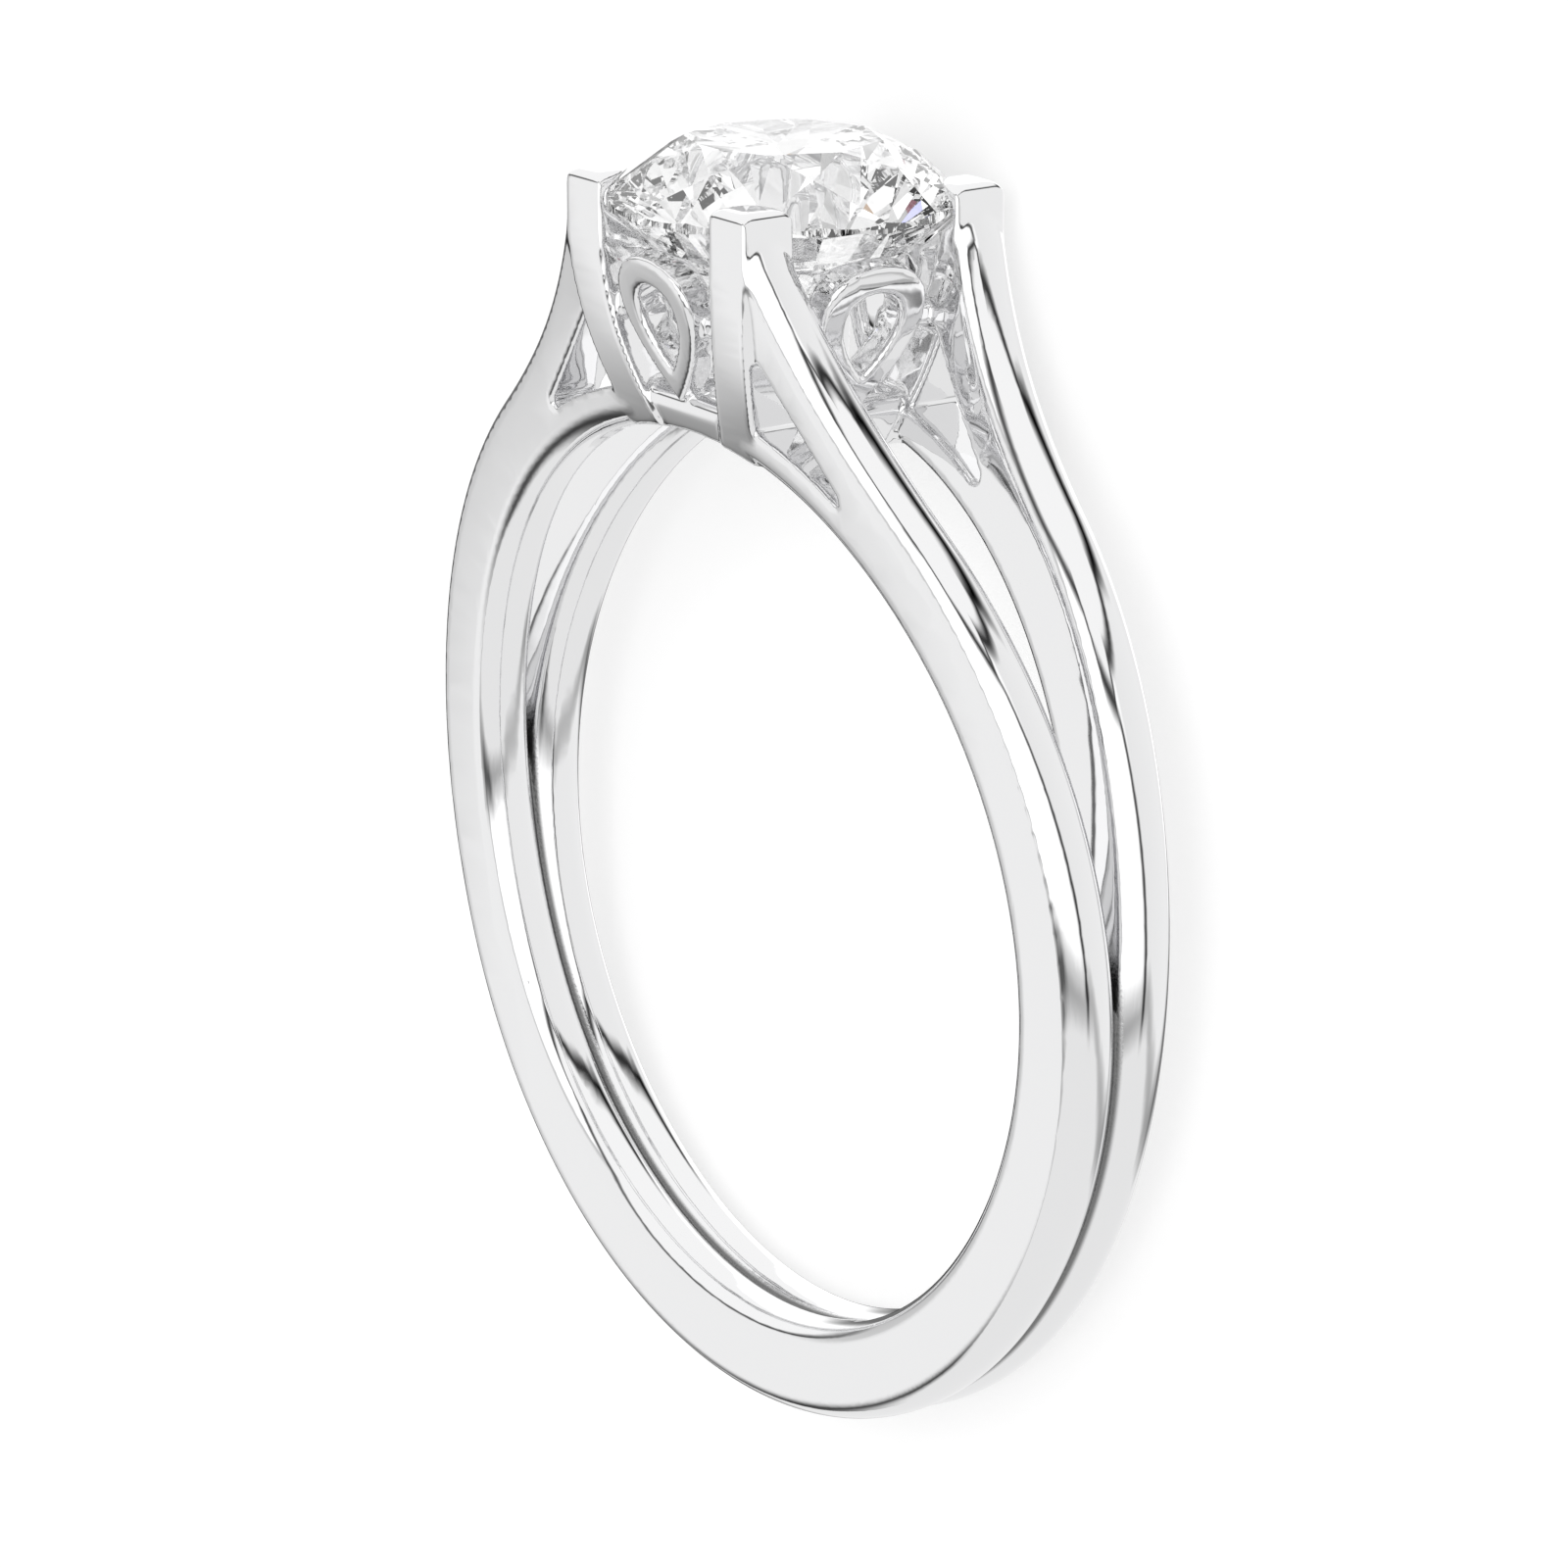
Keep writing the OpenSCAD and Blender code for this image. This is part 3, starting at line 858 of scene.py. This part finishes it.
# %% Cards
# Each pair is a bearing and the value there.
CARD_TOP = [(-180, 8), (-155, 12), (-120, 34), (-96, 55), (-58, 57), (-46, 45), (-16, 42), (-6, 51),
            (62, 49), (80, 40), (105, 33), (180, 30)]
CARD_LOW = [(-180, -48), (-125, -48), (-115, -24), (-60, -17), (20, -16), (45, -28), (75, -33),
            (100, -28), (115, -20), (130, -17), (180, -17)]
CARD_LIGHT = [(-180, 0.6), (-156, 0.7), (-148, 1.0), (-100, 1.0), (-92, 0.6), (-86, 1.4), (-8, 1.3),
              (2, 0.95), (85, 1.0), (105, 0.95), (112, 1.4), (180, 1.2)]
CEILING_LIGHT = 1.08
BELOW_LIGHT = 0.92

card_top = round_the_room(CARD_TOP, 0, 90)
card_low = round_the_room(CARD_LOW, -90, 0)
card_light = round_the_room(CARD_LIGHT, 0, 2)
over = calc("SUBTRACT", climb, card_top)
under = calc("SUBTRACT", card_low, climb)
mirrored = mix(step(over, -1, 1), card_light, CEILING_LIGHT)
mirrored = mix(step(under, -2, 2), mirrored, BELOW_LIGHT)
print("cards:", len(tree.nodes), "nodes")

# %% [markdown]
# The seams run along the upper and the lower edge of the belt, and one more stands upright where
# two cards meet in a corner. Two wide soft dark places, one low in front on the left and one behind
# on the left, are the parts of the room that no lamp reaches.

# %% Seams between the cards
TOP_DEPTH = [(-180, 0.5), (-155, 0.95), (-110, 0.85), (-60, 0.95), (60, 0.97), (75, 1.0), (105, 1.0),
             (118, 0.0)]
TOP_WIDTH = [(-60, 7), (-40, 7), (0, 5), (55, 5), (80, 13), (105, 12)]
LOW_DEPTH = [(-130, 0.2), (-105, 0.6), (-90, 0.9), (-65, 0.9), (-50, 0.55), (40, 0.4), (90, 0.6),
             (105, 0.85), (145, 0.85)]
LOW_WIDTH = 8
CORNER_BEARING = 4.5
CORNER_CLIMB = -8           # the corner's seam is furthest round here and bends away on both sides
CORNER_BEND = 0.0075
CORNER_WIDTH = 7
CORNER_DEPTH = 0.95


def seam(off, width, depth):
    """A dark seam: off is the distance from its middle, in degrees, and depth 1 is black."""
    near = calc("SUBTRACT", 1, calc("POWER", calc("DIVIDE", off, width), 2))
    shade = calc("POWER", calc("MAXIMUM", near, 0), 1.5)
    return calc("SUBTRACT", 1, calc("MULTIPLY", shade, depth))


top_seam = seam(over, round_the_room(TOP_WIDTH, 0, 90), round_the_room(TOP_DEPTH, 0, 1))
low_seam = seam(under, LOW_WIDTH, round_the_room(LOW_DEPTH, 0, 1))
corner_bend = calc("MULTIPLY", calc("POWER", calc("SUBTRACT", climb, CORNER_CLIMB), 2), CORNER_BEND)
corner_off = calc("SUBTRACT", bearing, calc("SUBTRACT", CORNER_BEARING, corner_bend))
corner_ends = calc("MULTIPLY", step(climb, 44, 38), step(climb, -27, -16))
corner_seam = seam(corner_off, CORNER_WIDTH, calc("MULTIPLY", corner_ends, CORNER_DEPTH))
left_dark = seam(calc("ADD", climb, 45), 20, calc("MULTIPLY", step(bearing, -115, -130), 0.9))
far_dark = calc("SUBTRACT", 1, calc("MULTIPLY", step(along(towards(165, -17)), 0.90, 0.96), 0.85))
for shade in (top_seam, corner_seam, low_seam, left_dark, far_dark):
    mirrored = calc("MULTIPLY", mirrored, shade)
print("cards and seams:", len(tree.nodes), "nodes")

# %% [markdown]
# A real brilliant splits white light into colours. This simple shader doesn't, so four small
# coloured lights, which only the light inside the stone meets, give it its fire. Seen straight on,
# the surroundings are plain white.

# %% Fire and background
STONE_SHADE = 0.18          # how much darker the surroundings are for light inside the stone
SPOT_FROM, SPOT_FULL = 0.998, 0.9988
FIRE = [                    # colour, bearing and climb
    ((0.3, 0.32, 0.9), -84, 44),
    ((0.4, 0.22, 0.08), -106, 49),
    ((0.25, 0.04, 0.08), -47, 52),
    ((0.3, 0.6, 0.5), 124, 28),
]

path = add("ShaderNodeLightPath")
inside = path.outputs["Is Transmission Ray"]
tinted = calc("MULTIPLY", mirrored, calc("SUBTRACT", 1, calc("MULTIPLY", inside, STONE_SHADE)))
for tint, at_bearing, at_climb in FIRE:
    spot = step(along(towards(at_bearing, at_climb)), SPOT_FROM, SPOT_FULL)
    tinted = mix(calc("MULTIPLY", spot, inside), tinted, (*tint, 1), "RGBA")
background = add("ShaderNodeBackground")
plug(background.inputs["Color"], mix(path.outputs["Is Camera Ray"], tinted, (1, 1, 1, 1), "RGBA"))
plug(background.inputs["Strength"], 1.0)
plug(add("ShaderNodeOutputWorld").inputs["Surface"], background.outputs["Background"])
print("surroundings:", len(tree.nodes), "nodes")

# %% [markdown]
# One wide, weak lamp over the ring only gives the paper its soft shadow. It has no place among the
# cards, so mirrors don't see it. The bounces are what the stone's facets need.

# %% Lamp and bounces
LAMP_PLACE = Vector((0.05, 0.10, 0.30))

bpy.ops.object.light_add(type="AREA", location=LAMP_PLACE)
lamp = bpy.context.active_object
lamp.name = "soft_light"
lamp.data.shape = "DISK"
lamp.data.size = 0.30
lamp.data.energy = 0.12
lamp.visible_glossy = False
lamp.rotation_euler = LAMP_PLACE.to_track_quat("Z", "Y").to_euler()
bpy.context.scene.view_settings.view_transform = "Standard"
bpy.context.scene.cycles.max_bounces = 24
bpy.context.scene.cycles.glossy_bounces = 16
bpy.context.scene.cycles.transmission_bounces = 24
print("lamp at", tuple(round(v, 2) for v in LAMP_PLACE), "m,", round(lamp.data.size, 2), "m wide")

# %% [markdown]
# The camera stands where the photographer's did, seen from the ring: to its right and a little
# above, with a long lens. The ring lies on its side here, so the camera is turned with it.

# %% Camera
AZIMUTH = math.radians(55.322)
ELEVATION = math.radians(16.951)
DISTANCE = 106.788          # to the place that it looks at, in mm
FOCAL_PX = 6082.577         # focal length, in pixels of the frame
FRAME_PX = 1600
SENSOR = 36
AIM_Z = 1.547               # height over the finger hole's middle that it looks at

back = Vector((math.sin(AZIMUTH) * math.cos(ELEVATION), -math.cos(AZIMUTH) * math.cos(ELEVATION),
               math.sin(ELEVATION)))
right = Vector((math.cos(AZIMUTH), math.sin(AZIMUTH), 0))
up = back.cross(right)

bpy.ops.object.camera_add()
camera = bpy.context.active_object
camera.name = "camera"
camera.data.sensor_width = SENSOR
camera.data.lens = FOCAL_PX * SENSOR / FRAME_PX
camera.data.clip_start = 0.005
camera.data.clip_end = 10
eye_place = lay_down @ (Vector((0, 0, AIM_Z)) + DISTANCE * back) + Vector((0, -SHIFT, LIFT))
turned = Matrix((lay_down @ right, lay_down @ up, lay_down @ back)).transposed()
camera.matrix_world = Matrix.Translation(eye_place / 1000) @ turned.to_4x4()
bpy.context.scene.camera = camera
print("camera at", tuple(round(v, 1) for v in eye_place), "mm")
